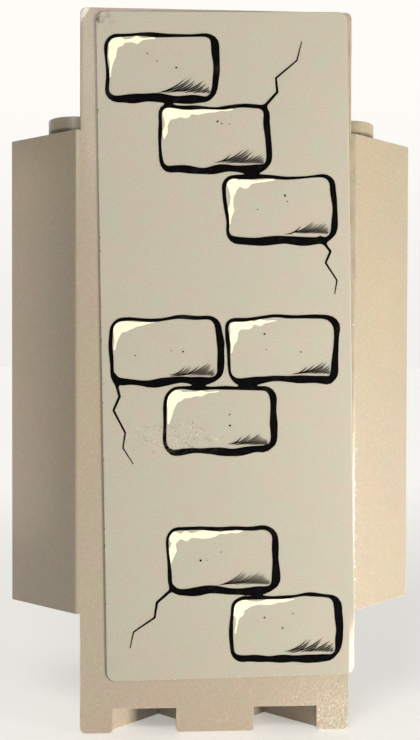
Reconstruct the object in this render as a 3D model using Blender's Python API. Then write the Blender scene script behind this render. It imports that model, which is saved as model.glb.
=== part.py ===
"""Corner wall panel for an interlocking toy brick system, with the printed sticker on its face.

The panel is one plastic moulding, six brick courses high. Its plan is a square of three by three studs
with one corner cut off by a flat upright face. Two wings, each one stud square, stand at the ends of the
face from the top of the first course to the top of the fifth. Each wing is a tube with a stud on its roof
and an open socket below. A base one course high closes the square behind the foot of the face. It plugs onto
the middle stud of the square, and it straddles the two studs that stand half under the face.
The sticker is a thin vinyl film pressed on the face, slightly askew.

Units are metres and +Z is up. The origin is the middle of the square, at the foot. X and Y run along the
stud grid, and the face looks between -X and -Y.
"""

import math

import bmesh
import bpy
from mathutils import Vector

# Brick system: the spacing of studs, the height of one course, and the play a moulding keeps to its grid.
PITCH = 0.008
COURSE = 0.0096
PLAY = 0.0001
STUD_RADIUS = 0.0024
STUD_HEIGHT = 0.0017
WALL = 0.0015

# Panel: heights, counted in courses from the foot.
FACE_TOP = 6 * COURSE
WING_FOOT = 1 * COURSE
WING_TOP = 5 * COURSE
BASE_TOP = 1 * COURSE

# Upright face: its width above and below the wings, its rounded corners, and the notches over two studs.
FACE_HALF_WIDTH = 0.0108
FACE_CORNER_RADIUS = 0.0005
TAB_CORNER_RADIUS = 0.0003
NOTCH_HALF_WIDTH = 0.00255
NOTCH_HEIGHT = 0.00195

# Dimple in the ceiling below each stud.
DIMPLE_RADIUS = 0.0013
DIMPLE_DEPTH = 0.0014

# Rounding of the moulding's outward edges.
EDGE_RADIUS = 0.00013
EDGE_SEGMENTS = 2
SHARP_ANGLE = math.radians(28)
CORNER_SEGMENTS = 5
STUD_SEGMENTS = 40
DIMPLE_SEGMENTS = 20

# Sticker: a film cut with round corners, laid on with a tilt, so that its lower right corner overhangs the
# face. The corner has folded back along the line through two points, each given as (across, height).
STICKER_WIDTH = 0.0200
STICKER_HEIGHT = 0.0531
STICKER_RADIUS = 0.0008
STICKER_THICKNESS = 0.0001
STICKER_GAP = 0.00002
STICKER_TILT = math.radians(1.0)
STICKER_ACROSS = 0.00087
STICKER_RISE = 0.03087
FOLD_FOOT = (0.01083, 0.0046)
FOLD_HEAD = (0.01127, 0.0096)
FOLD_SLOPE = math.tan(math.radians(38))

# Colours and roughnesses.
PLASTIC_COLOUR = (0.33, 0.29, 0.23, 1.0)
PLASTIC_ROUGHNESS = 0.38
VINYL_COLOUR = (0.345, 0.325, 0.255, 1.0)
VINYL_ROUGHNESS = 0.48

# Grid lines of the middle cell and of the whole square, with the play taken off or added.
INSIDE = PITCH / 2 - PLAY
OUTSIDE = PITCH / 2 + PLAY
LIMIT = 1.5 * PITCH - PLAY

# The face's front and back are planes where X + Y is constant.
ROOT2 = math.sqrt(2)
FRONT_SUM = -PITCH
BACK_SUM = FRONT_SUM + WALL * ROOT2

# How far a cutting tool runs past what it cuts.
OVERRUN = 0.001

WING_CELLS = ((PITCH, -PITCH), (-PITCH, PITCH))


def behind_face(across, depth):
    """Plan position of a point at a distance to the right along the face and a depth behind its front."""
    return ((across + depth) / ROOT2 + FRONT_SUM / 2, (depth - across) / ROOT2 + FRONT_SUM / 2)


def swapped(outline):
    """The same plan outline on the other side of the panel, still running counter-clockwise."""
    return [(y, x) for x, y in reversed(outline)]


def square(centre, half):
    x, y = centre
    return [(x - half, y - half), (x + half, y - half), (x + half, y + half), (x - half, y + half)]


def circle(centre, radius, segments):
    angles = [2 * math.pi * step / segments for step in range(segments)]
    return [(centre[0] + radius * math.cos(a), centre[1] + radius * math.sin(a)) for a in angles]


def rounded(corners):
    """An outline from (x, y, radius) corners, each right-angled, rounded where its radius is not nought."""
    outline = []
    for place, (x, y, radius) in enumerate(corners):
        corner = Vector((x, y))
        towards_last = (Vector(corners[place - 1][:2]) - corner).normalized()
        towards_next = (Vector(corners[(place + 1) % len(corners)][:2]) - corner).normalized()
        centre = corner + (towards_last + towards_next) * radius
        steps = CORNER_SEGMENTS if radius else 0
        for step in range(steps + 1):
            angle = math.pi / 2 * step / max(steps, 1)
            point = centre - (towards_next * math.cos(angle) + towards_last * math.sin(angle)) * radius
            outline.append(tuple(point))
    return outline


def swept(name, ring, move):
    """A closed solid made by sweeping a flat ring of points along a vector."""
    shape = bmesh.new()
    face = shape.faces.new([shape.verts.new(point) for point in ring])
    grown = bmesh.ops.extrude_face_region(shape, geom=[face])["geom"]
    moved = [item for item in grown if isinstance(item, bmesh.types.BMVert)]
    bmesh.ops.translate(shape, verts=moved, vec=move)
    bmesh.ops.recalc_face_normals(shape, faces=shape.faces[:])
    mesh = bpy.data.meshes.new(name)
    shape.to_mesh(mesh)
    shape.free()
    made = bpy.data.objects.new(name, mesh)
    bpy.context.scene.collection.objects.link(made)
    return made


def prism(name, outline, low, high):
    """An upright prism on a plan outline."""
    return swept(name, [(x, y, low) for x, y in outline], (0, 0, high - low))


def slab(name, outline, front, back):
    """A slab parallel to the face, from its outline as (across, height) and its depths behind the face."""
    ring = [(*behind_face(across, front), height) for across, height in outline]
    step = (back - front) / ROOT2
    return swept(name, ring, (step, step, 0))


def combine(base, tool, operation):
    """Works a Boolean into the base's mesh and removes the tool."""
    modifier = base.modifiers.new(operation, "BOOLEAN")
    modifier.operation = operation
    modifier.solver = "EXACT"
    modifier.object = tool
    graph = bpy.context.evaluated_depsgraph_get()
    worked = bpy.data.meshes.new_from_object(base.evaluated_get(graph))
    base.modifiers.clear()
    base.data = worked
    bpy.data.objects.remove(tool)


def front_view():
    """Front outline: a tall face with two notches in its foot, and arms as wide as the wings."""
    stud_across = PITCH / ROOT2
    inner = stud_across - NOTCH_HALF_WIDTH
    outer = stud_across + NOTCH_HALF_WIDTH
    arm = LIMIT * ROOT2 + OVERRUN
    right = [
        (inner, 0, TAB_CORNER_RADIUS),
        (inner, NOTCH_HEIGHT, 0),
        (outer, NOTCH_HEIGHT, 0),
        (outer, 0, TAB_CORNER_RADIUS),
        (FACE_HALF_WIDTH, 0, FACE_CORNER_RADIUS),
        (FACE_HALF_WIDTH, WING_FOOT, 0),
        (arm, WING_FOOT, 0),
        (arm, WING_TOP, 0),
        (FACE_HALF_WIDTH, WING_TOP, 0),
        (FACE_HALF_WIDTH, FACE_TOP, FACE_CORNER_RADIUS),
    ]
    left = [(-across, height, radius) for across, height, radius in reversed(right)]
    return rounded(right + left)


def wall_plan():
    """Plan of the face and wings: the face runs out to the square's sides and turns there into a wing."""
    right = [
        (INSIDE, -LIMIT),
        (LIMIT, -LIMIT),
        (LIMIT, -OUTSIDE),
        (OUTSIDE, -OUTSIDE),
        (OUTSIDE, BACK_SUM - OUTSIDE),
    ]
    return right + swapped(right)


def beside_plan():
    """Plan of all that lies beside the middle cell on the right, where neighbouring bricks go."""
    far = LIMIT + OVERRUN
    return [(INSIDE, -far), (far, -far), (far, far), (INSIDE, far)]


def base_plan():
    """Plan of the base: the two sides of the square's inner corner, from the middle of the face's wall."""
    middle_sum = (FRONT_SUM + BACK_SUM) / 2
    return [(middle_sum - INSIDE, INSIDE), (INSIDE, middle_sum - INSIDE), (INSIDE, INSIDE)]


def notch_plan():
    """Plan of the right notch: room for a stud half under the face, from the front to the pocket's walls."""
    inner = PITCH / ROOT2 - NOTCH_HALF_WIDTH
    outer = PITCH / ROOT2 + NOTCH_HALF_WIDTH
    back = WALL + PLAY
    at_wall = (STUD_RADIUS + PITCH / 2) * ROOT2
    front_end = [(inner, -OVERRUN), (outer, -OVERRUN)]
    back_end = [(outer, at_wall - outer), (at_wall - back, back), (inner, back)]
    return [behind_face(across, depth) for across, depth in front_end + back_end]


def straddle_plan():
    """Plan of the pocket round the back half of a stud that stands half under the face, on the right."""
    return [(STUD_RADIUS, BACK_SUM - STUD_RADIUS), (STUD_RADIUS, -INSIDE), (BACK_SUM + INSIDE, -INSIDE)]


def fold_back(made, foot, head, slope):
    """Bends back the part of a slab to the right of a line from foot to head, both as (across, height)."""
    start = Vector((*behind_face(foot[0], 0), foot[1]))
    run = Vector((*behind_face(head[0], 0), head[1])) - start
    backwards = Vector((1, 1, 0)).normalized()
    beyond = backwards.cross(run).normalized()
    shape = bmesh.new()
    shape.from_mesh(made.data)
    pieces = shape.verts[:] + shape.edges[:] + shape.faces[:]
    bmesh.ops.bisect_plane(shape, geom=pieces, dist=1e-7, plane_co=start, plane_no=beyond)
    for point in shape.verts:
        point.co += backwards * max(beyond.dot(point.co - start), 0) * slope
    shape.to_mesh(made.data)
    shape.free()


def is_rounded(edge):
    """True for an outward edge, but not at the foot or round a downward face, where the mould parts."""
    at_foot = max(end.co.z for end in edge.verts) < FACE_CORNER_RADIUS + PLAY
    looks_down = any(face.normal.z < -0.9 for face in edge.link_faces)
    return edge.calc_face_angle_signed() > SHARP_ANGLE and not at_foot and not looks_down


def round_edges(made):
    """Merges flat neighbours, then rounds the outward edges."""
    shape = bmesh.new()
    shape.from_mesh(made.data)
    bmesh.ops.remove_doubles(shape, verts=shape.verts[:], dist=1e-6)
    flat = math.radians(0.5)
    bmesh.ops.dissolve_limit(shape, angle_limit=flat, verts=shape.verts[:], edges=shape.edges[:])
    bmesh.ops.bevel(
        shape,
        geom=[edge for edge in shape.edges if is_rounded(edge)],
        offset=EDGE_RADIUS,
        offset_type="OFFSET",
        segments=EDGE_SEGMENTS,
        profile=0.5,
        affect="EDGES",
    )
    bmesh.ops.recalc_face_normals(shape, faces=shape.faces[:])
    shape.to_mesh(made.data)
    shape.free()


def finished(made, name, colour, roughness):
    """Names a piece, gives it its one material and shades its round faces smooth."""
    made.name = name
    made.data.name = name
    material = bpy.data.materials.new(name)
    material.use_nodes = True
    material.diffuse_color = colour
    shader = material.node_tree.nodes["Principled BSDF"]
    shader.inputs["Base Color"].default_value = colour
    shader.inputs["Roughness"].default_value = roughness
    shader.inputs["Metallic"].default_value = 0.0
    made.data.materials.clear()
    made.data.materials.append(material)
    made.data.shade_smooth()
    made.data.set_sharp_from_angle(angle=math.radians(40))


for leftover in list(bpy.data.objects):
    bpy.data.objects.remove(leftover)

# The moulding's outside: face and wings, with the face's ends cut back above and below the wings, then the
# base behind the face, the notches through both, and a stud on each wing.
panel = prism("panel", wall_plan(), -OVERRUN, FACE_TOP + OVERRUN)
combine(panel, slab("front_view", front_view(), -OVERRUN, 2 * PITCH), "INTERSECT")
for outline in (beside_plan(), swapped(beside_plan())):
    combine(panel, prism("below_wing", outline, -OVERRUN, WING_FOOT), "DIFFERENCE")
    combine(panel, prism("above_wing", outline, WING_TOP, FACE_TOP + OVERRUN), "DIFFERENCE")
combine(panel, prism("base", base_plan(), 0, BASE_TOP), "UNION")
for outline in (notch_plan(), swapped(notch_plan())):
    combine(panel, prism("notch", outline, -OVERRUN, NOTCH_HEIGHT), "DIFFERENCE")
for cell in WING_CELLS:
    stud = circle(cell, STUD_RADIUS, STUD_SEGMENTS)
    combine(panel, prism("stud", stud, WING_TOP - OVERRUN, WING_TOP + STUD_HEIGHT), "UNION")
round_edges(panel)

# Its hollows: a socket up each wing with a dimple in its ceiling, and the base's socket and two pockets.
wing_ceiling = WING_TOP - WALL
for cell in WING_CELLS:
    socket = prism("socket", square(cell, STUD_RADIUS), WING_FOOT - OVERRUN, wing_ceiling)
    combine(panel, socket, "DIFFERENCE")
    round_hole = circle(cell, DIMPLE_RADIUS, DIMPLE_SEGMENTS)
    dimple = prism("dimple", round_hole, wing_ceiling - OVERRUN, wing_ceiling + DIMPLE_DEPTH)
    combine(panel, dimple, "DIFFERENCE")
base_ceiling = BASE_TOP - WALL
for outline in (square((0, 0), STUD_RADIUS), straddle_plan(), swapped(straddle_plan())):
    combine(panel, prism("hollow", outline, -OVERRUN, base_ceiling), "DIFFERENCE")
finished(panel, "corner_panel", PLASTIC_COLOUR, PLASTIC_ROUGHNESS)

# The sticker, turned a little about its own middle, with its corner folded back.
corners = [
    (-STICKER_WIDTH / 2, -STICKER_HEIGHT / 2, STICKER_RADIUS),
    (STICKER_WIDTH / 2, -STICKER_HEIGHT / 2, STICKER_RADIUS),
    (STICKER_WIDTH / 2, STICKER_HEIGHT / 2, STICKER_RADIUS),
    (-STICKER_WIDTH / 2, STICKER_HEIGHT / 2, STICKER_RADIUS),
]
cosine = math.cos(STICKER_TILT)
sine = math.sin(STICKER_TILT)
turned = [(x * cosine - y * sine, x * sine + y * cosine) for x, y in rounded(corners)]
laid = [(STICKER_ACROSS + across, STICKER_RISE + height) for across, height in turned]
sticker = slab("sticker", laid, -STICKER_GAP - STICKER_THICKNESS, -STICKER_GAP)
fold_back(sticker, FOLD_FOOT, FOLD_HEAD, FOLD_SLOPE)
finished(sticker, "wall_sticker", VINYL_COLOUR, VINYL_ROUGHNESS)
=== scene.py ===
"""Looks of a toy corner wall panel: worn grey plastic, a vinyl sticker and the brickwork printed on it."""

import math

import bmesh
import bpy
import numpy as np
from mathutils import Matrix, Quaternion, Vector, noise


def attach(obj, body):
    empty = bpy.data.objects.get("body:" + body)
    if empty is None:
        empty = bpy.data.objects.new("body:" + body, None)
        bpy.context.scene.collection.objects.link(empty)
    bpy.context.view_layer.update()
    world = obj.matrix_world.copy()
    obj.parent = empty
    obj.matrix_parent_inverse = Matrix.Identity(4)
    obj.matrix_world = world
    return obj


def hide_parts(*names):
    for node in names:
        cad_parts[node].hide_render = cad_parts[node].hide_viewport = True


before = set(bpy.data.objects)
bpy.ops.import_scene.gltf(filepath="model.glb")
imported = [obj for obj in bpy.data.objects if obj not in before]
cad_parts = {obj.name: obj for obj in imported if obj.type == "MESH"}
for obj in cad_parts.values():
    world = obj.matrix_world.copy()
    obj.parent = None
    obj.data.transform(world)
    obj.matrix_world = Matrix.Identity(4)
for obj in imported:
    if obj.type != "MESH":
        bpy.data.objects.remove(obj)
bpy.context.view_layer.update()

# The moulding. One piece of light grey ABS plastic, injection moulded with its wings, studs, sockets and base
# in one shot. The imported solid has its shape, so only the finish is made here: an old toy's skin, yellowed,
# rubbed pale along its edges, and scuffed at the foot where it was pressed on bricks. Painted shade darkens
# the foot of each stud, and painted highlights light the face's top left corner and chips on the right wing's
# corner.
MM = 0.001
PLASTIC_GREY = (0.333, 0.284, 0.215, 1)
PLASTIC_YELLOWED = (0.354, 0.298, 0.201, 1)
PLASTIC_PINKED = (0.360, 0.279, 0.223, 1)
PLASTIC_GREENED = (0.322, 0.297, 0.212, 1)
PLASTIC_RUBBED = (0.600, 0.560, 0.460, 1)
PLASTIC_CHIPPED_AND_LIT = (0.860, 0.810, 0.700, 1)
PLASTIC_GRIME_AND_SHADE = (0.085, 0.070, 0.048, 1)
PLASTIC_ROUGHNESS = 0.36
PLASTIC_IOR = 1.54
EDGE_RUB_WIDTH = 0.00022
EDGE_RUB_TURN = (0.02, 0.20)
EDGE_RUB_SAMPLES = 6
BUMP_STRENGTH = 0.6
BUMP_HEIGHT = 8e-6
SPOT_CORE = 0.6
LOT_SPREAD = 0.6
FACE_FRONT = (-5.6, -5.4)
FACE_BACK = (-4.0, -3.8)
FACE_LEFT = -10.8
FACE_TOP = 57.6
TINTED_FOOT = (3.0, 5.5)
SCUFFED_FOOT = (1.0, 6.0)
SCUFFED_SIDE = (1.0, 10.0)
CHIP_GLINT_EDGE = (11.0, 11.1, 11.4, 11.5)
CHIP_GLINT_UP_TO = (21.0, 27.0)
TOP_CORNER_FROM = (54.0, 55.0)
TOP_CORNER_HIGHLIGHT = (0.40, 0.55, 0.80, 1.05)
GRIMY_EDGE = (10.3, 10.6, 11.15, 11.3)
GRIMY_EDGE_FROM = (10.0, 14.0)
STUD_FOOT_SHADE = (48.0, 48.03, 48.6, 48.85)
SCRATCH_SLANT = 12
HAIR_SLANT = -33
ROUND_SHADING_ANGLE = math.radians(30)
SAME_PLACE = 1e-7


class Wire:
    """One output of a shader node. Arithmetic on wires and numbers adds Math nodes to their tree."""

    def __init__(self, tree, socket=None):
        self.tree = tree
        self.socket = socket

    def node(self, kind, settings=None, sockets=None, output=0):
        """Adds a node: first its settings, then the values or wires of its sockets."""
        made = self.tree.nodes.new(kind)
        for name, value in (settings or {}).items():
            setattr(made, name, value)
        for name, value in (sockets or {}).items():
            if isinstance(value, Wire):
                self.tree.links.new(value.socket, made.inputs[name])
            else:
                made.inputs[name].default_value = value
        return Wire(self.tree, made.outputs[output])

    def sibling(self, name):
        """Another output of this wire's node."""
        return Wire(self.tree, self.socket.node.outputs[name])

    def math(self, operation, first, second):
        return self.node("ShaderNodeMath", {"operation": operation}, {0: first, 1: second})

    def __add__(self, other):
        return self.math("ADD", self, other)

    def __sub__(self, other):
        return self.math("SUBTRACT", self, other)

    def __rsub__(self, other):
        return self.math("SUBTRACT", other, self)

    def __mul__(self, other):
        return self.math("MULTIPLY", self, other)

    __radd__ = __add__
    __rmul__ = __mul__

    def rise(self, low, high):
        """Goes smoothly from 0 where this wire is at low to 1 where it is at high."""
        settings = {"interpolation_type": "SMOOTHSTEP"}
        return self.node("ShaderNodeMapRange", settings, {"Value": self, "From Min": low, "From Max": high})

    def between(self, start, full, fading, end):
        """Rises from 0 to 1 between start and full, and goes back to 0 between fading and end."""
        return self.rise(start, full) * (1 - self.rise(fading, end))

    def mix(self, low, high):
        """A colour that goes from low to high as this wire goes from 0 to 1."""
        return self.node("ShaderNodeMix", {"data_type": "RGBA"}, {"Factor": self, 6: low, 7: high}, 2)

    def vector(self, operation, other, output=0):
        return self.node("ShaderNodeVectorMath", {"operation": operation}, {0: self, 1: other}, output)

    def along(self, direction):
        """How far this vector reaches along a direction."""
        return self.vector("DOT_PRODUCT", direction, "Value")

    def length(self):
        return self.vector("LENGTH", (0, 0, 0), "Value")

    def shifted(self, offset):
        """This place moved by an offset, so that its noise isn't the same as at the place itself."""
        return self.vector("ADD", offset)

    def cloud(self, size, detail=2.0):
        """Noise about 0.5 with blobs of this size, or of these sizes along the three axes."""
        sizes = size if isinstance(size, tuple) else (size, size, size)
        place = self.vector("DIVIDE", sizes)
        return self.node("ShaderNodeTexNoise", {}, {"Vector": place, "Scale": 1.0, "Detail": detail})

    def spots(self, spacing, radius, share):
        """Round spots on a loose lattice, 1 at their middle; roughly this share of the cells has one."""
        place = self.vector("DIVIDE", (spacing, spacing, spacing))
        cells = {"Vector": place, "Scale": 1.0}
        away = self.node("ShaderNodeTexVoronoi", {}, cells, "Distance")
        lot = away.sibling("Color").along((1 / 3, 1 / 3, 1 / 3))
        chosen = self.math("GREATER_THAN", lot, 0.5 + (0.5 - share) * LOT_SPREAD)
        return (1 - away.rise(radius / spacing * SPOT_CORE, radius / spacing)) * chosen

    def turned(self, axis, degrees):
        """This vector turned about an axis through the origin."""
        settings = {"rotation_type": "AXIS_ANGLE"}
        return self.node(
            "ShaderNodeVectorRotate", settings, {"Vector": self, "Axis": axis, "Angle": math.radians(degrees)}
        )


def new_finish(name, roughness, ior):
    """A material, its shader, and a wire with the place on the piece in millimetres."""
    material = bpy.data.materials.new(name)
    material.use_nodes = True
    shader = material.node_tree.nodes["Principled BSDF"]
    shader.inputs["Roughness"].default_value = roughness
    shader.inputs["IOR"].default_value = ior
    metres = Wire(material.node_tree).node("ShaderNodeTexCoord", output="Object")
    return material, shader, metres.vector("DIVIDE", (MM, MM, MM))


def feed(shader, **wires):
    """Links wires to the shader's sockets; a name's underscores stand for spaces."""
    for name, wire in wires.items():
        wire.tree.links.new(wire.socket, shader.inputs[name.replace("_", " ")])


def raised_by(relief):
    """The normal of a surface that this relief raises and dents by a few thousandths of a millimetre."""
    sockets = {"Strength": BUMP_STRENGTH, "Distance": BUMP_HEIGHT, "Height": relief}
    return relief.node("ShaderNodeBump", {}, sockets)


def shade_round(piece, angle):
    """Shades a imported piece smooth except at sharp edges, with nodes that leave its own mesh as it is."""
    group = bpy.data.node_groups.new("shade_round", "GeometryNodeTree")
    group.interface.new_socket("Geometry", in_out="INPUT", socket_type="NodeSocketGeometry")
    group.interface.new_socket("Geometry", in_out="OUTPUT", socket_type="NodeSocketGeometry")
    nodes = group.nodes
    link = group.links.new
    merge = nodes.new("GeometryNodeMergeByDistance")
    merge.inputs["Distance"].default_value = SAME_PLACE
    plain = nodes.new("GeometryNodeRemoveAttribute")
    plain.inputs["Name"].default_value = "custom_normal"
    smooth = nodes.new("GeometryNodeSetShadeSmooth")
    fold = nodes.new("GeometryNodeInputMeshEdgeAngle")
    is_sharp = nodes.new("FunctionNodeCompare")
    is_sharp.operation = "GREATER_THAN"
    is_sharp.inputs["B"].default_value = angle
    crease = nodes.new("GeometryNodeSetShadeSmooth")
    crease.domain = "EDGE"
    crease.inputs["Shade Smooth"].default_value = False
    link(nodes.new("NodeGroupInput").outputs[0], merge.inputs["Geometry"])
    link(merge.outputs[0], plain.inputs["Geometry"])
    link(plain.outputs[0], smooth.inputs["Geometry"])
    link(smooth.outputs[0], crease.inputs["Geometry"])
    link(fold.outputs["Unsigned Angle"], is_sharp.inputs["A"])
    link(is_sharp.outputs[0], crease.inputs["Selection"])
    link(crease.outputs[0], nodes.new("NodeGroupOutput").inputs[0])
    piece.modifiers.new("shade_round", "NODES").node_group = group


plastic, shader, place = new_finish("panel_plastic", PLASTIC_ROUGHNESS, PLASTIC_IOR)
half = math.sqrt(0.5)
into_face = (half, half, 0)
across = place.along((half, -half, 0))
height = place.along((0, 0, 1))

yellow = place.cloud(14.0).rise(0.40, 0.66)
pink = place.shifted((40, 0, 0)).cloud(5.0, 3).rise(0.45, 0.70)
colour = (yellow * 0.7).mix(PLASTIC_GREY, PLASTIC_YELLOWED)
colour = (pink * 0.35 + (1 - height.rise(*TINTED_FOOT)) * 0.4).mix(colour, PLASTIC_PINKED)
blotch = place.shifted((8, 3, 0)).cloud(1.7, 2)
colour = (blotch.rise(0.48, 0.66) * 0.5).mix(colour, PLASTIC_PINKED)
colour = ((1 - blotch.rise(0.36, 0.52)) * 0.5).mix(colour, PLASTIC_GREENED)
grain = place.cloud(0.13, 3)
colour = (grain.rise(0.50, 0.75) * 0.18).mix(colour, PLASTIC_RUBBED)
colour = ((1 - grain.rise(0.25, 0.50)) * 0.12).mix(colour, PLASTIC_GRIME_AND_SHADE)

true_normal = place.node("ShaderNodeNewGeometry", output="Normal")
bent_normal = place.node("ShaderNodeBevel", {"samples": EDGE_RUB_SAMPLES}, {"Radius": EDGE_RUB_WIDTH})
near_edge = (1 - true_normal.along(bent_normal)).rise(*EDGE_RUB_TURN)
rub = near_edge * place.cloud(0.7, 4).rise(0.40, 0.62)

depth = place.along(into_face)
on_face = 1 - depth.rise(*FACE_FRONT)
to_right = across.rise(*SCUFFED_SIDE)
foot = (1 - height.rise(*SCUFFED_FOOT)) * (0.35 + 0.65 * to_right)
right_foot = foot * to_right * on_face
grit = place.spots(0.55, 0.085, 0.34) * place.cloud(2.2).rise(0.42, 0.60)
nicks = place.turned(into_face, SCRATCH_SLANT).cloud((0.07, 0.07, 0.55), 1).rise(0.63, 0.72)
scuff = foot * (grit + nicks * 0.7 * place.cloud(1.6).rise(0.50, 0.62))
sparkle = right_foot * place.cloud(0.10, 1).rise(0.60, 0.66) * place.cloud(0.6, 2).rise(0.40, 0.60)
frost = right_foot * place.cloud(0.20, 4).rise(0.36, 0.70)

# Pale flecks along the right wing's corner below mid height: painted glints on small chips in the edge.
wing_corner = across.between(*CHIP_GLINT_EDGE) * (1 - height.rise(*CHIP_GLINT_UP_TO))
chip_glints = wing_corner * place.cloud((0.18, 0.18, 0.34), 2).rise(0.58, 0.66)
# Painted highlight: a pale facet on the face's top left corner, where it catches the light.
from_corner = (across - FACE_LEFT) * 0.9 + (FACE_TOP - height) * 0.55 + place.cloud(0.4, 2) * 0.4
top_corner_highlight = from_corner.between(*TOP_CORNER_HIGHLIGHT) * height.rise(*TOP_CORNER_FROM)
beside_film = on_face * across.between(*GRIMY_EDGE) * height.rise(*GRIMY_EDGE_FROM)
edge_grime = beside_film * (0.25 + place.cloud((0.5, 0.5, 1.5), 3).rise(0.40, 0.70))
edge_dots = beside_film * place.shifted((2, 0, 4)).spots(0.9, 0.09, 0.30)
# Painted shade: the foot of each stud is darkened where the wing's top edge shades it.
stud_foot = depth.rise(*FACE_BACK) * height.between(*STUD_FOOT_SHADE)
stud_painted_shade = stud_foot * (0.7 + 0.3 * place.shifted((6, 6, 0)).cloud(0.8, 3).rise(0.35, 0.55))
hairs = place.turned(into_face, HAIR_SLANT).cloud((0.06, 0.06, 3.5), 1).rise(0.67, 0.74)
lint = place.spots(3.1, 0.085, 0.42)
dust = place.shifted((9, 5, 2)).spots(2.3, 0.075, 0.36)

pale = rub * 0.45 + scuff * 0.85 + frost * 0.5 + hairs * 0.10 + lint * 0.7
colour = pale.mix(colour, PLASTIC_RUBBED)
# Dust and grime darken the plastic, and painted shade darkens the stud feet.
colour = (dust * 0.6 + edge_grime * 0.22 + stud_painted_shade * 0.9).mix(colour, PLASTIC_GRIME_AND_SHADE)
# Pale chips, flecks and sparkles, with the painted highlights on the top left corner and on the wing's corner
# chips.
colour = (chip_glints * 0.7 + sparkle * 0.8 + top_corner_highlight * 0.55 + edge_dots).mix(colour, PLASTIC_CHIPPED_AND_LIT)
wear = place.cloud(3.0, 4) * 0.14 + near_edge * 0.25 + scuff * 0.3 + hairs * 0.15
relief = place.cloud(0.9, 3) * 0.5 - scuff * 1.2 - hairs * 0.4 + lint * 0.8
bump = raised_by(relief)
feed(shader, Base_Color=colour, Roughness=PLASTIC_ROUGHNESS - 0.07 + wear, Normal=bump)

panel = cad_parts["corner_panel"]
panel.material_slots[0].material = plastic
shade_round(panel, ROUND_SHADING_ANGLE)

# The sticker. A film of soft vinyl a tenth of a millimetre thick, light grey all over and die-cut with round
# corners, pressed on the face by hand a degree askew. Dirt has gathered along its left edge, a patch in its
# middle is rubbed, and its lower right corner, which overhangs the face, has folded back. Painted highlight
# makes that fold pale where it faces the light, and painted glints fleck the lower rim.
SHEET_WIDTH = 0.0200
SHEET_HEIGHT = 0.0531
SHEET_RADIUS = 0.0008
SHEET_RIM_LINES = 7
SHEET_COLUMNS = 22
SHEET_ROWS = 64
SHEET_BACK = 0.00002
SHEET_FRONT = 0.00012
SHEET_EDGE_ROUND = 0.00003
SHEET_TILT = math.radians(1.0)
SHEET_ACROSS = 0.00087
SHEET_RISE = 0.03087
SHEET_GREY = (0.366, 0.342, 0.280, 1)
SHEET_WARM = (0.386, 0.336, 0.270, 1)
SHEET_COOL = (0.344, 0.344, 0.278, 1)
SHEET_PINKED = (0.386, 0.328, 0.284, 1)
SHEET_GREENED = (0.344, 0.354, 0.278, 1)
SHEET_PALE = (0.620, 0.580, 0.480, 1)
SHEET_DIRT = (0.060, 0.050, 0.030, 1)
SHEET_RUB_BROWN = (0.220, 0.170, 0.110, 1)
SHEET_ROUGHNESS = 0.46
VINYL_IOR = 1.52
PITCH = 0.008
FACE_EDGE = 0.01083
WING_CORNER = 0.01130
FLAP_BOTTOM = 0.0066
FLAP_TOP = 0.0096
FLAP_SLOPE = math.tan(math.radians(42))
FLAP_EASE = 0.00010
CORNER_LIFT = 0.00003
CORNER_LIFT_REACH = 0.0012
WORN_PATCH = (-4.2, -7.2, 0.0)
WORN_PATCH_REACH = (4.8, 1.8, 1.0)
WORN_PATCH_RIM = (0.55, 1.0)
WORN_STROKE_SLANT = 35
WORN_STROKE_CURL = (5.0, -3.0)
FILM_HAIR_SLANT = 24
COOLER_DOWN = (-27, 27)
SMUDGED_CORNER = (-9.75, 25.90, 0.0)
SMUDGE = (0.10, 0.60)
SMUDGE_HALO = (0.30, 1.70)
DIRTY_SIDE = (-9.4, -8.7)
DIRTY_FROM = (-26.0, -20.0)
DIRTY_RIM = (0.00, 0.06)
BEADED_RIM = (0.08, 0.18)
FLAP_HIGHLIGHT_SIDE = (9.48, 9.64)
FLAP_HIGHLIGHT_UP_TO = (-24.5, -21.5)
GLINTING_UP_TO = (-26.2, -25.6)
GLINTING_RIM = (0.06, 0.14)


def smooth_step(value, low, high):
    share = min(max((value - low) / (high - low), 0.0), 1.0)
    return share * share * (3 - 2 * share)


def stand_off(x, y):
    """How far a place on the sheet stands off its plane: it folds back where no face backs it."""
    across = SHEET_ACROSS + x * math.cos(SHEET_TILT) - y * math.sin(SHEET_TILT)
    height = SHEET_RISE + x * math.sin(SHEET_TILT) + y * math.cos(SHEET_TILT)
    backed_to = FACE_EDGE + (WING_CORNER - FACE_EDGE) * smooth_step(height, FLAP_BOTTOM, FLAP_TOP)
    over = max(across - backed_to, 0.0)
    corner_away = math.hypot(x + SHEET_WIDTH / 2, y - SHEET_HEIGHT / 2)
    lift = CORNER_LIFT * math.exp(-((corner_away / CORNER_LIFT_REACH) ** 2))
    return lift - FLAP_SLOPE * over * over / (over + FLAP_EASE)


def grid_lines(half_length, radius, inner_steps):
    """Grid lines from one end to the other, close together within a radius of each end."""
    outer = np.linspace(half_length - radius, half_length, SHEET_RIM_LINES)
    inner = np.linspace(radius - half_length, half_length - radius, inner_steps)
    return np.concatenate([-outer[::-1], inner[1:-1], outer])


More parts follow.
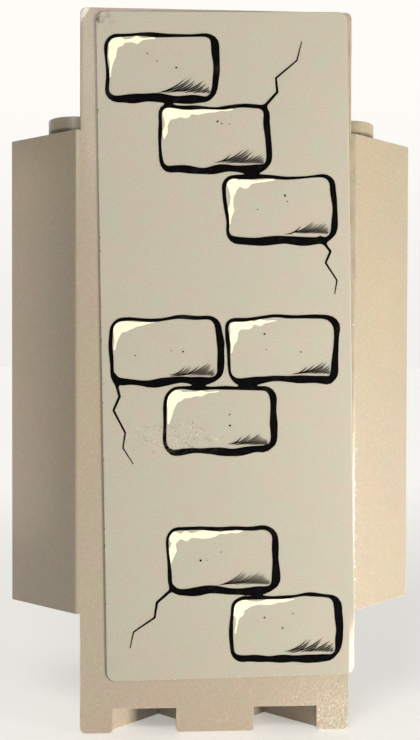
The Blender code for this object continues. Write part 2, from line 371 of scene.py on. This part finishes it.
def in_round_corner(x, y):
    """Where a point of the square-cornered grid goes when the sheet's corners are round."""
    inner_x = SHEET_WIDTH / 2 - SHEET_RADIUS
    inner_y = SHEET_HEIGHT / 2 - SHEET_RADIUS
    out_x = max(abs(x) - inner_x, 0.0) / SHEET_RADIUS
    out_y = max(abs(y) - inner_y, 0.0) / SHEET_RADIUS
    if out_x == 0 or out_y == 0:
        return x, y
    reach_x = inner_x + SHEET_RADIUS * out_x * math.sqrt(1 - out_y * out_y / 2)
    reach_y = inner_y + SHEET_RADIUS * out_y * math.sqrt(1 - out_x * out_x / 2)
    return math.copysign(reach_x, x), math.copysign(reach_y, y)


def new_piece(name, shape, finish):
    """A piece made from a bmesh in the sheet's own axes, with its finish."""
    mesh = bpy.data.meshes.new(name)
    shape.to_mesh(mesh)
    shape.free()
    mesh.materials.append(finish)
    piece = bpy.data.objects.new(name, mesh)
    bpy.context.scene.collection.objects.link(piece)
    piece.matrix_world = SHEET_PLACE
    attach(piece, "root")
    return piece


def patch_distance(place):
    """How far a place on the sheet is from the middle of the worn patch, 1 at the patch's rim."""
    return place.vector("SUBTRACT", WORN_PATCH).vector("DIVIDE", WORN_PATCH_REACH).length()


face_right = Vector((half, -half, 0))
face_out = Vector((-half, -half, 0))
sheet_right = face_right * math.cos(SHEET_TILT) + Vector((0, 0, 1)) * math.sin(SHEET_TILT)
sheet_middle = face_out * (PITCH * half) + face_right * SHEET_ACROSS + Vector((0, 0, SHEET_RISE))
SHEET_PLACE = Matrix((sheet_right, face_out.cross(sheet_right), face_out)).transposed().to_4x4()
SHEET_PLACE.translation = sheet_middle

film, shader, place = new_finish("sticker_film", SHEET_ROUGHNESS, VINYL_IOR)
x = place.along((1, 0, 0))
y = place.along((0, 1, 0))
inner = (SHEET_WIDTH / 2 - SHEET_RADIUS, SHEET_HEIGHT / 2 - SHEET_RADIUS, 1.0)
outside = place.vector("ABSOLUTE", (0, 0, 0)).vector("SUBTRACT", [size / MM for size in inner])
edge_depth = SHEET_RADIUS / MM - outside.vector("MAXIMUM", (0, 0, 0)).length()

mottle = place.cloud(4.5, 3).rise(0.38, 0.66)
cool = place.shifted((30, 7, 0)).cloud(3.6, 3).rise(0.42, 0.68)
colour = (cool * 0.6).mix((mottle * 0.6).mix(SHEET_GREY, SHEET_WARM), SHEET_COOL)
colour = ((1 - y.rise(*COOLER_DOWN)) * 0.12).mix(colour, SHEET_COOL)
blotch = place.shifted((5, 9, 0)).cloud(1.5, 2)
colour = (blotch.rise(0.50, 0.68) * 0.55).mix(colour, SHEET_PINKED)
colour = ((1 - blotch.rise(0.34, 0.52)) * 0.55).mix(colour, SHEET_GREENED)
grain = place.cloud(0.12, 2)
colour = (grain.rise(0.50, 0.75) * 0.16).mix(colour, SHEET_PALE)
colour = ((1 - grain.rise(0.25, 0.50)) * 0.10).mix(colour, SHEET_DIRT)

dirty_side = (1 - x.rise(*DIRTY_SIDE)) * y.rise(*DIRTY_FROM)
gaps = place.cloud((0.4, 0.55, 1.0), 3).rise(0.26, 0.50)
dirt_line = dirty_side * (1 - edge_depth.rise(*DIRTY_RIM)) * gaps
drops = place.cloud((0.3, 0.5, 1.0), 1).rise(0.64, 0.70)
beads = dirty_side * (1 - edge_depth.rise(*BEADED_RIM)) * drops
from_corner = place.vector("SUBTRACT", SMUDGED_CORNER).length()
smudge = (1 - from_corner.rise(*SMUDGE)) * place.cloud(0.30, 2).rise(0.36, 0.60)
smudge = smudge + (1 - from_corner.rise(*SMUDGE_HALO)) * place.cloud(0.55, 2).rise(0.50, 0.72) * 0.5
specks = place.spots(2.6, 0.075, 0.40)
# Painted highlights: the folded flap at the lower right is painted pale where it faces the light, and glints
# fleck the lower rim.
flap_painted_highlight = x.rise(*FLAP_HIGHLIGHT_SIDE) * (1 - y.rise(*FLAP_HIGHLIGHT_UP_TO))
lower_rim = (1 - edge_depth.rise(*GLINTING_RIM)) * (1 - y.rise(*GLINTING_UP_TO))
rim_glints = lower_rim * place.cloud(0.16, 1).rise(0.62, 0.70)

patch = (1 - patch_distance(place).rise(*WORN_PATCH_RIM)) * place.cloud(0.9, 2).rise(0.38, 0.50)
swirl = place.cloud(1.0, 1) - 0.5
curl = {"X": swirl * WORN_STROKE_CURL[0], "Y": swirl * WORN_STROKE_CURL[1]}
curled = place.shifted(place.node("ShaderNodeCombineXYZ", {}, curl))
strokes = curled.turned((0, 0, 1), WORN_STROKE_SLANT).cloud((0.10, 0.36, 1.0), 1)
brown_marks = patch * strokes.rise(0.57, 0.66)
bright_marks = patch * (1 - strokes.rise(0.30, 0.38))
hairs = place.turned((0, 0, 1), FILM_HAIR_SLANT).cloud((0.06, 3.2, 1.0), 1).rise(0.69, 0.75)
bumps = place.shifted((3, 8, 0)).spots(2.1, 0.06, 0.42)

# The pale mix carries wear, hairs and bumps, with the painted highlights on the flap and the lower rim.
pale = bright_marks * 0.8 + hairs * 0.12 + bumps * 0.45 + rim_glints + flap_painted_highlight * 0.75
colour = pale.mix(colour, SHEET_PALE)
colour = (brown_marks * 0.75).mix(colour, SHEET_RUB_BROWN)
colour = (dirt_line * 0.8 + beads * 0.55 + smudge * 0.85 + specks * 0.7).mix(colour, SHEET_DIRT)
relief = place.cloud(1.7, 3) * 0.6 + bright_marks * 0.6 - brown_marks * 0.6 - hairs * 0.3 + bumps
bump = raised_by(relief)
rough = SHEET_ROUGHNESS - 0.05 + place.cloud(2.4, 3) * 0.1 + (brown_marks + bright_marks) * 0.15
feed(shader, Base_Color=colour, Roughness=rough, Normal=bump)

sheet = bmesh.new()
columns_at = grid_lines(SHEET_WIDTH / 2, SHEET_RADIUS, SHEET_COLUMNS)
rows_at = grid_lines(SHEET_HEIGHT / 2, SHEET_RADIUS, SHEET_ROWS)
rows = [[sheet.verts.new((*in_round_corner(x, y), SHEET_BACK)) for x in columns_at] for y in rows_at]
for low, high in zip(rows[:-1], rows[1:]):
    for column in range(len(low) - 1):
        sheet.faces.new((low[column], low[column + 1], high[column + 1], high[column]))
grown = bmesh.ops.extrude_face_region(sheet, geom=sheet.faces[:])["geom"]
front = [item for item in grown if isinstance(item, bmesh.types.BMVert)]
bmesh.ops.translate(sheet, verts=front, vec=(0, 0, SHEET_FRONT - SHEET_BACK))
bmesh.ops.recalc_face_normals(sheet, faces=sheet.faces[:])
rim = [edge for edge in sheet.edges if edge.calc_face_angle(0) > 1 and edge.verts[0].co.z > SHEET_BACK * 2]
bmesh.ops.bevel(
    sheet, geom=rim, offset=SHEET_EDGE_ROUND, offset_type="OFFSET", segments=2, profile=0.5, affect="EDGES"
)
for vertex in sheet.verts:
    vertex.co.z += stand_off(vertex.co.x, vertex.co.y)
sticker = new_piece("sticker_film", sheet, film)
sticker.data.shade_smooth()
sticker.data.set_sharp_from_angle(angle=ROUND_SHADING_ANGLE)
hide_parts("wall_sticker")

# The printed bricks. Black ink on the film: a few whole bricks in running bond, as where plaster has come off
# an old wall, each outlined as with a brush, heavier below and on the right, and fine cracks that run on from
# them.
BRICK_LENGTH = 8.6
BRICK_HEIGHT = 5.0
BRICK_CORNER = 0.9
BRICK_STEP = 9.3
COURSE_STEP = 5.6
TOP_COURSE = 22.2
FIRST_BRICKS = (-4.9, -0.7)
BRICKS = ((0, 0), (1, 0), (2, 1), (4, 0), (4, 1), (5, 0), (7, 0), (8, 1))
CRACKS = (
    ((7.6, 8.6), (8.4, 7.5), (8.0, 6.6), (8.9, 5.2), (8.7, 4.1)),
    ((-9.0, -2.2), (-8.6, -3.8), (-9.1, -4.9), (-8.2, -6.7), (-8.4, -7.9), (-7.6, -9.2)),
    ((-4.6, -19.2), (-5.9, -20.3), (-6.1, -21.5), (-7.8, -22.6), (-8.1, -23.9)),
    ((3.2, 19.0), (4.3, 20.2), (4.2, 21.3), (5.9, 22.7), (6.3, 24.2)),
)
OUTLINE_HALF_WIDTH = 0.14
OUTLINE_SHADOW = 0.15
OUTLINE_SHADOW_POWER = 8
OUTLINE_STEP = 0.3
OUTLINE_WANDER = 0.3
WIDTH_WANDER = 0.5
WIDTH_PACE = 1.6
WANDER_PACE = 0.4
SIDEWAYS_SEED = 1.3
UPWARD_SEED = 7.1
WIDTH_SEED = 4.2
CORNER_POINTS = 6
CRACK_HALF_WIDTH = 0.12
CRACK_TIP = 0.3
INK_FILLET = 0.3
INK_GRID = 0.07
INK_MARGIN = 1.2
INK_WELD = 0.004
INK_STRAIGHT = math.radians(2)
INK_EDGE_X = 9.9
INK_EDGE_Y = 26.4
INK_BLACK = (0.0012, 0.0010, 0.0013, 1)
INK_WORN = (0.150, 0.140, 0.120, 1)
INK_ROUGHNESS = 0.50
INK_SPECULAR = 0.03
INK_SCRATCH_SLANT = 65
INK_PATCH_RIM = (0.5, 1.0)
BLACK_LAYER = 0.00002
GRID_X = np.arange(-INK_EDGE_X, INK_EDGE_X, INK_GRID)
GRID_Y = np.arange(-INK_EDGE_Y, INK_EDGE_Y, INK_GRID)


def brick_middle(row, number):
    return FIRST_BRICKS[row % 2] + number * BRICK_STEP, TOP_COURSE - row * COURSE_STEP


def wander(x, y, seed, reach):
    """A number from about -reach to reach that changes slowly from place to place."""
    return reach * noise.noise(Vector((x * WANDER_PACE, y * WANDER_PACE, seed)))


def brick_outline(middle_x, middle_y):
    """Points (x, y, half width) of a brushed line round a brick, thicker along its bottom and right."""
    ring = []
    for quarter, (side_x, side_y) in enumerate(((1, 1), (-1, 1), (-1, -1), (1, -1))):
        for angle in np.linspace(quarter, quarter + 1, CORNER_POINTS) * math.pi / 2:
            out_x = side_x * (BRICK_LENGTH / 2 - BRICK_CORNER) + BRICK_CORNER * math.cos(angle)
            out_y = side_y * (BRICK_HEIGHT / 2 - BRICK_CORNER) + BRICK_CORNER * math.sin(angle)
            ring.append((out_x, out_y))
    ring = np.array(ring + ring[:1])
    run = np.concatenate([[0], np.cumsum(np.hypot(*np.diff(ring, axis=0).T))])
    points = []
    for reached in np.linspace(0, run[-1], round(run[-1] / OUTLINE_STEP) + 1):
        out_x = np.interp(reached, run, ring[:, 0])
        out_y = np.interp(reached, run, ring[:, 1])
        shadow = max(out_x / BRICK_LENGTH * 2, -out_y / BRICK_HEIGHT * 2, 0) ** OUTLINE_SHADOW_POWER
        x = middle_x + out_x + wander(middle_x + out_x, middle_y + out_y, SIDEWAYS_SEED, OUTLINE_WANDER)
        y = middle_y + out_y + wander(middle_x + out_x, middle_y + out_y, UPWARD_SEED, OUTLINE_WANDER)
        sway = wander(x * WIDTH_PACE, y * WIDTH_PACE, WIDTH_SEED, WIDTH_WANDER)
        points.append((x, y, (OUTLINE_HALF_WIDTH + OUTLINE_SHADOW * shadow) * (1 + sway)))
    return np.array(points)


def crack_line(corners):
    """Points (x, y, half width) of a crack that gets thinner from corner to corner."""
    widths = CRACK_HALF_WIDTH * np.linspace(1, CRACK_TIP, len(corners))
    return np.array([(x, y, width) for (x, y), width in zip(corners, widths)])


def lay_stroke(field, stroke, fillet):
    """Adds a stroke to a field of distances from the ink's edge, negative inside, and fills inner corners."""
    low = stroke[:, :2].min(axis=0) - INK_MARGIN
    high = stroke[:, :2].max(axis=0) + INK_MARGIN
    columns = slice(*np.searchsorted(GRID_X, (low[0], high[0])))
    rows = slice(*np.searchsorted(GRID_Y, (low[1], high[1])))
    x, y = np.meshgrid(GRID_X[columns], GRID_Y[rows])
    nearest = np.full(x.shape, INK_MARGIN)
    for first, second in zip(stroke[:-1], stroke[1:]):
        run = second - first
        along_run = (x - first[0]) * run[0] + (y - first[1]) * run[1]
        share = np.clip(along_run / (run[0] ** 2 + run[1] ** 2), 0, 1)
        away = np.hypot(x - first[0] - share * run[0], y - first[1] - share * run[1])
        nearest = np.minimum(nearest, away - first[2] - share * run[2])
    before = field[rows, columns]
    kept = np.clip(0.5 + 0.5 * (nearest - before) / fillet, 0, 1)
    before[...] = nearest * (1 - kept) + before * kept - fillet * kept * (1 - kept)


def inked(field, layer):
    """A thin printed layer over the part of the sheet where the field is negative."""
    shape = bmesh.new()
    made = {}

    def vertex(key, x, y):
        if key not in made:
            made[key] = shape.verts.new((x * MM, y * MM, 0))
        return made[key]

    wet = field < 0
    near = wet[:-1, :-1] | wet[1:, :-1] | wet[:-1, 1:] | wet[1:, 1:]
    for row, column in zip(*np.nonzero(near)):
        ring = []
        around = ((row, column), (row, column + 1), (row + 1, column + 1), (row + 1, column))
        for here, following in zip(around, around[1:] + around[:1]):
            if wet[here]:
                ring.append(vertex(here, GRID_X[here[1]], GRID_Y[here[0]]))
            if wet[here] != wet[following]:
                first, second = sorted((here, following))
                share = field[first] / (field[first] - field[second])
                cut_x = GRID_X[first[1]] + share * (GRID_X[second[1]] - GRID_X[first[1]])
                cut_y = GRID_Y[first[0]] + share * (GRID_Y[second[0]] - GRID_Y[first[0]])
                ring.append(vertex((first, second), cut_x, cut_y))
        shape.faces.new(ring)
    bmesh.ops.remove_doubles(shape, verts=shape.verts[:], dist=INK_WELD * MM)
    bmesh.ops.dissolve_limit(shape, angle_limit=INK_STRAIGHT, verts=shape.verts[:], edges=shape.edges[:])
    return raised(shape, layer)


def raised(shape, layer):
    """Thickens flat ink faces into a closed layer that lies on the film and follows its folds."""
    rim = [edge for edge in shape.edges if edge.is_boundary]
    flat_faces = shape.faces[:]
    above = {vertex: shape.verts.new(vertex.co) for vertex in shape.verts[:]}
    for face in flat_faces:
        shape.faces.new([above[vertex] for vertex in face.verts])
    for start, end in (edge.verts for edge in rim):
        shape.faces.new((start, end, above[end], above[start]))
    for foot, top in above.items():
        stand = stand_off(foot.co.x, foot.co.y)
        foot.co.z = SHEET_FRONT + stand
        top.co.z = SHEET_FRONT + layer + stand
    bmesh.ops.recalc_face_normals(shape, faces=shape.faces[:])
    return shape


def ink_finish(name, ink, worn, specular):
    """Printing ink: satin, uneven, with fine scratches and the rubbed patch through it."""
    material, shader, place = new_finish(name, INK_ROUGHNESS, VINYL_IOR)
    shader.inputs["Specular IOR Level"].default_value = specular
    patch = 1 - patch_distance(place).rise(*INK_PATCH_RIM)
    scratches = place.turned((0, 0, 1), INK_SCRATCH_SLANT).cloud((0.05, 0.9, 1.0), 1)
    marks = patch * scratches.rise(0.60, 0.68) + scratches.rise(0.70, 0.78) * 0.35
    thin_ink = place.cloud(1.4, 3).rise(0.55, 0.80) * 0.06
    feed(
        shader,
        Base_Color=(marks * 0.6 + thin_ink).mix(ink, worn),
        Roughness=INK_ROUGHNESS - 0.04 + place.cloud(0.8, 3) * 0.1,
    )
    return material


black_field = np.full((len(GRID_Y), len(GRID_X)), INK_MARGIN)
for row, number in BRICKS:
    lay_stroke(black_field, brick_outline(*brick_middle(row, number)), INK_FILLET)
for corners in CRACKS:
    lay_stroke(black_field, crack_line(corners), INK_FILLET)
black_ink = ink_finish("ink_black", INK_BLACK, INK_WORN, INK_SPECULAR)
new_piece("printed_bricks", inked(black_field, BLACK_LAYER), black_ink)

# The lit edges. Cream ink under the black, inside each brick along its top and left: slivers with torn inner
# edges, as if light from the upper left caught the rough edge of the fired clay.
CREAM_LAYER = 0.00001
INK_CREAM = (0.830, 0.760, 0.560, 1)
CREAM_WORN = (0.560, 0.510, 0.400, 1)
CREAM_HALF_WIDTH = 0.42
CREAM_WIDEST = 0.46
CREAM_TIP = 0.15
CREAM_SPECULAR = 0.5
CREAM_INSET = 0.34
CREAM_CORNER = 0.25
CREAM_LEAN = 0.1
SLIVER_STEP = 0.42
SLIVER_FEWEST_POINTS = 4
SLIVER_FILLET = 0.01
LIT_CORNER_FILLET = 0.25
TORN_WIDTHS = (0.35, 1.5)
LIT_SHARES_OF_TOP = (0.35, 0.75)
LIT_SHARES_OF_LEFT = (0.4, 0.7)
torn = np.random.default_rng(11)


def sliver(start, end):
    """Points (x, y, half width) of a torn sliver, widest at its start."""
    start = np.array(start)
    end = np.array(end)
    count = max(SLIVER_FEWEST_POINTS, round(float(np.linalg.norm(end - start)) / SLIVER_STEP))
    points = []
    for share in np.linspace(0, 1, count):
        width = CREAM_HALF_WIDTH * (1 - (1 - CREAM_TIP) * share) * torn.uniform(*TORN_WIDTHS)
        points.append((*(start + (end - start) * share), min(width, CREAM_WIDEST)))
    return np.array(points)


cream_field = np.full(black_field.shape, INK_MARGIN)
for row, number in BRICKS:
    x, y = brick_middle(row, number)
    left = x - BRICK_LENGTH / 2 + CREAM_INSET
    top = y + BRICK_HEIGHT / 2 - CREAM_INSET
    corner = (left + CREAM_CORNER, top - CREAM_CORNER)
    lit_length = BRICK_LENGTH * torn.uniform(*LIT_SHARES_OF_TOP)
    lay_stroke(cream_field, sliver(corner, (left + lit_length, top + CREAM_LEAN)), SLIVER_FILLET)
    lit_height = BRICK_HEIGHT * torn.uniform(*LIT_SHARES_OF_LEFT)
    lay_stroke(cream_field, sliver(corner, (left - CREAM_LEAN, top - lit_height)), LIT_CORNER_FILLET)
cream_ink = ink_finish("ink_cream", INK_CREAM, CREAM_WORN, CREAM_SPECULAR)
new_piece("printed_highlights", inked(cream_field, CREAM_LAYER), cream_ink)

# The hatching. Fine black pen strokes in the lower right corner of each brick, which shade it as in an old
# engraving, and a few pits in the bricks' faces. The ink is the same as that of the outlines.
HATCH_GAP = 0.36
HATCH_HALF_WIDTH = 0.055
HATCH_REACH = (4.4, 2.2)
HATCH_INSET = 0.42
HATCH_BEND = 0.22
HATCH_FILLS = (0.7, 1.0)
HATCH_STARTS = (0.0, 0.08)
HATCH_ENDS = (1.2, 2.2)
STROKE_POINTS = 7
STROKE_TAPER = 0.7
PITS_IN_A_BRICK = 3
PIT_CORNERS = 7
PIT_RADIUS = 0.09
PIT_SIZES = (0.5, 1.1)
PIT_RIM = (0.7, 1.2)
PIT_SPREAD = ((-0.28, -0.1), (0.2, 0.28))
pen = np.random.default_rng(5)


def pen_stroke(start, end, bend):
    """The outline of a thin stroke that bends towards one side and is pointed at both ends."""
    start = np.array(start)
    run = np.array(end) - start
    aside = np.array((run[1], -run[0])) / np.hypot(*run)
    shares = np.linspace(0, 1, STROKE_POINTS)
    middle = [start + run * share + aside * bend * 4 * share * (1 - share) for share in shares]
    half_widths = HATCH_HALF_WIDTH * np.sin(math.pi * shares) ** STROKE_TAPER
    right_side = [point + aside * width for point, width in zip(middle, half_widths)]
    left_side = [point - aside * width for point, width in zip(middle, half_widths)]
    return right_side + left_side[-2:0:-1]


def pit(x, y, radius):
    """The outline of a small uneven pit."""
    angles = np.arange(PIT_CORNERS) * 2 * math.pi / PIT_CORNERS
    radii = radius * pen.uniform(*PIT_RIM, PIT_CORNERS)
    return [np.array((x + out * math.cos(a), y + out * math.sin(a))) for a, out in zip(angles, radii)]


marks = []
for row, number in BRICKS:
    x, y = brick_middle(row, number)
    right = x + BRICK_LENGTH / 2 - HATCH_INSET
    bottom = y - BRICK_HEIGHT / 2 + HATCH_INSET
    count = round(HATCH_REACH[0] * pen.uniform(*HATCH_FILLS) / HATCH_GAP)
    for step in range(1, count + 1):
        low = np.array((right - step * HATCH_GAP, bottom))
        high = np.array((right, bottom + step * HATCH_GAP * HATCH_REACH[1] / HATCH_REACH[0]))
        first = low + (high - low) * pen.uniform(*HATCH_STARTS)
        last = low + (high - low) * min(1.0, pen.uniform(*HATCH_ENDS) / math.sqrt(step))
        marks.append(pen_stroke(first, last, HATCH_BEND * step / count))
    for _ in range(PITS_IN_A_BRICK):
        spot = pen.uniform(*PIT_SPREAD) * (BRICK_LENGTH, BRICK_HEIGHT)
        marks.append(pit(x + spot[0], y + spot[1], PIT_RADIUS * pen.uniform(*PIT_SIZES)))
hatching = bmesh.new()
for outline in marks:
    hatching.faces.new([hatching.verts.new((*point * MM, 0)) for point in outline])
new_piece("printed_hatching", raised(hatching, BLACK_LAYER), black_ink)

# The studio. A pale floor that glows, most behind the panel, a soft surround that is white behind it and dim
# before it, a lamp low on the right of the face, a weaker one high on its left, and the glow of a white card
# beside the left wing. The camera stands where the photograph was taken from, a little left of the middle.
FLOOR_SIZE = 3.0
FLOOR_COLOUR = (0.90, 0.90, 0.89, 1)
FLOOR_CLOUDED = (0.93, 0.93, 0.92, 1)
FLOOR_CLOUD_SIZE = 60.0
FLOOR_ROUGHNESS = 0.7
FLOOR_IOR = 1.45
GLOW_UNDER = (0.535, 0.530, 0.515, 1)
GLOW_BEHIND = (0.920, 0.900, 0.865, 1)
GLOW_BEHIND_FROM = (0, 180)
GLOW_STRENGTH = 0.62
SURROUND = (1.0, 0.985, 0.945, 1)
BEHIND_STRENGTH = 0.99
BEFORE_STRENGTH = 0.20
LOW_SHARE = 0.90
TURNS_DIM = (-0.85, -0.3)
TURNS_FULL = (0.0, 0.25)
KEY_COLOUR = (1.0, 0.945, 0.86)
KEY_POWER = 0.285
KEY_SIZE = (0.04, 0.012)
KEY_TURN = math.radians(55)
KEY_DISTANCE = 0.125
KEY_HEIGHT = 0.004
FILL_COLOUR = (1.0, 0.96, 0.92)
FILL_POWER = 0.067
FILL_SIZE = (0.06, 0.06)
FILL_ACROSS = -0.036
FILL_AWAY = 0.100
FILL_HEIGHT = 0.130
CARD_COLOUR = (1.0, 0.84, 0.72)
CARD_POWER = 0.00062
CARD_SIZE = (0.008, 0.036)
CARD_ACROSS = -0.0240
CARD_BEHIND = 0.0060
CARD_HEIGHT = 0.032
EYE_ACROSS = -0.00599
EYE_AWAY = 0.08881
EYE_HEIGHT = 0.03066
AIM_ACROSS = -0.000602
AIM_HEIGHT = 0.028819
ROLL = math.radians(0.156)
SENSOR = 36.0
LENS = 54.29
SHIFT = (0.00203, 0.00351)
NEAREST_SEEN = 0.005


def before_face(across, away, height):
    """A point in front of the face: how far along it to the right, how far away from it, and how high."""
    return face_out * (PITCH * half + away) + face_right * across + Vector((0, 0, height))


floor_shape = bmesh.new()
bmesh.ops.create_grid(floor_shape, x_segments=1, y_segments=1, size=FLOOR_SIZE / 2)
floor_mesh = bpy.data.meshes.new("floor")
floor_shape.to_mesh(floor_mesh)
floor_shape.free()
floor = bpy.data.objects.new("floor", floor_mesh)
bpy.context.scene.collection.objects.link(floor)
floor_finish, shader, place = new_finish("floor", FLOOR_ROUGHNESS, FLOOR_IOR)
glow = place.along(into_face).rise(*GLOW_BEHIND_FROM).mix(GLOW_UNDER, GLOW_BEHIND)
clouded = place.cloud(FLOOR_CLOUD_SIZE).mix(FLOOR_COLOUR, FLOOR_CLOUDED)
feed(shader, Base_Color=clouded, Emission_Color=glow)
shader.inputs["Emission Strength"].default_value = GLOW_STRENGTH
floor_mesh.materials.append(floor_finish)

surround = bpy.data.worlds.new("surround")
surround.use_nodes = True
background = surround.node_tree.nodes["Background"]
background.inputs["Color"].default_value = SURROUND
direction = Wire(surround.node_tree).node("ShaderNodeTexCoord", output="Generated")
before = direction.along(tuple(face_out)).rise(*TURNS_DIM)
above = direction.along((0, 0, 1)).rise(*TURNS_FULL)
strength = BEHIND_STRENGTH - (BEHIND_STRENGTH - BEFORE_STRENGTH) * before
feed(background, Strength=strength * (LOW_SHARE + (1 - LOW_SHARE) * above))
bpy.context.scene.world = surround
bpy.context.scene.view_settings.view_transform = "Standard"


def area_lamp(name, place, target, size, power, colour):
    """A rectangular lamp that shines at a target and doesn't show itself."""
    light = bpy.data.lights.new(name, "AREA")
    light.shape = "RECTANGLE"
    light.size, light.size_y = size
    light.energy = power
    light.color = colour
    lamp = bpy.data.objects.new(name, light)
    lamp.location = place
    lamp.rotation_euler = (target - place).to_track_quat("-Z", "Y").to_euler()
    lamp.visible_camera = False
    bpy.context.scene.collection.objects.link(lamp)


key_place = before_face(KEY_DISTANCE * math.sin(KEY_TURN), KEY_DISTANCE * math.cos(KEY_TURN), KEY_HEIGHT)
area_lamp("key_lamp", key_place, sheet_middle, KEY_SIZE, KEY_POWER, KEY_COLOUR)
fill_place = before_face(FILL_ACROSS, FILL_AWAY, FILL_HEIGHT)
area_lamp("fill_lamp", fill_place, sheet_middle, FILL_SIZE, FILL_POWER, FILL_COLOUR)
card_place = before_face(CARD_ACROSS, -CARD_BEHIND, CARD_HEIGHT)
card_target = before_face(0, -CARD_BEHIND, CARD_HEIGHT)
area_lamp("card_glow", card_place, card_target, CARD_SIZE, CARD_POWER, CARD_COLOUR)

camera_data = bpy.data.cameras.new("camera")
camera_data.sensor_width = SENSOR
camera_data.lens = LENS
camera_data.shift_x, camera_data.shift_y = SHIFT
camera_data.clip_start = NEAREST_SEEN
camera = bpy.data.objects.new("camera", camera_data)
bpy.context.scene.collection.objects.link(camera)
eye = before_face(EYE_ACROSS, EYE_AWAY, EYE_HEIGHT)
sight = before_face(AIM_ACROSS, 0, AIM_HEIGHT) - eye
camera.location = eye
camera.rotation_mode = "QUATERNION"
camera.rotation_quaternion = sight.to_track_quat("-Z", "Y") @ Quaternion((0, 0, 1), ROLL)
bpy.context.scene.camera = camera
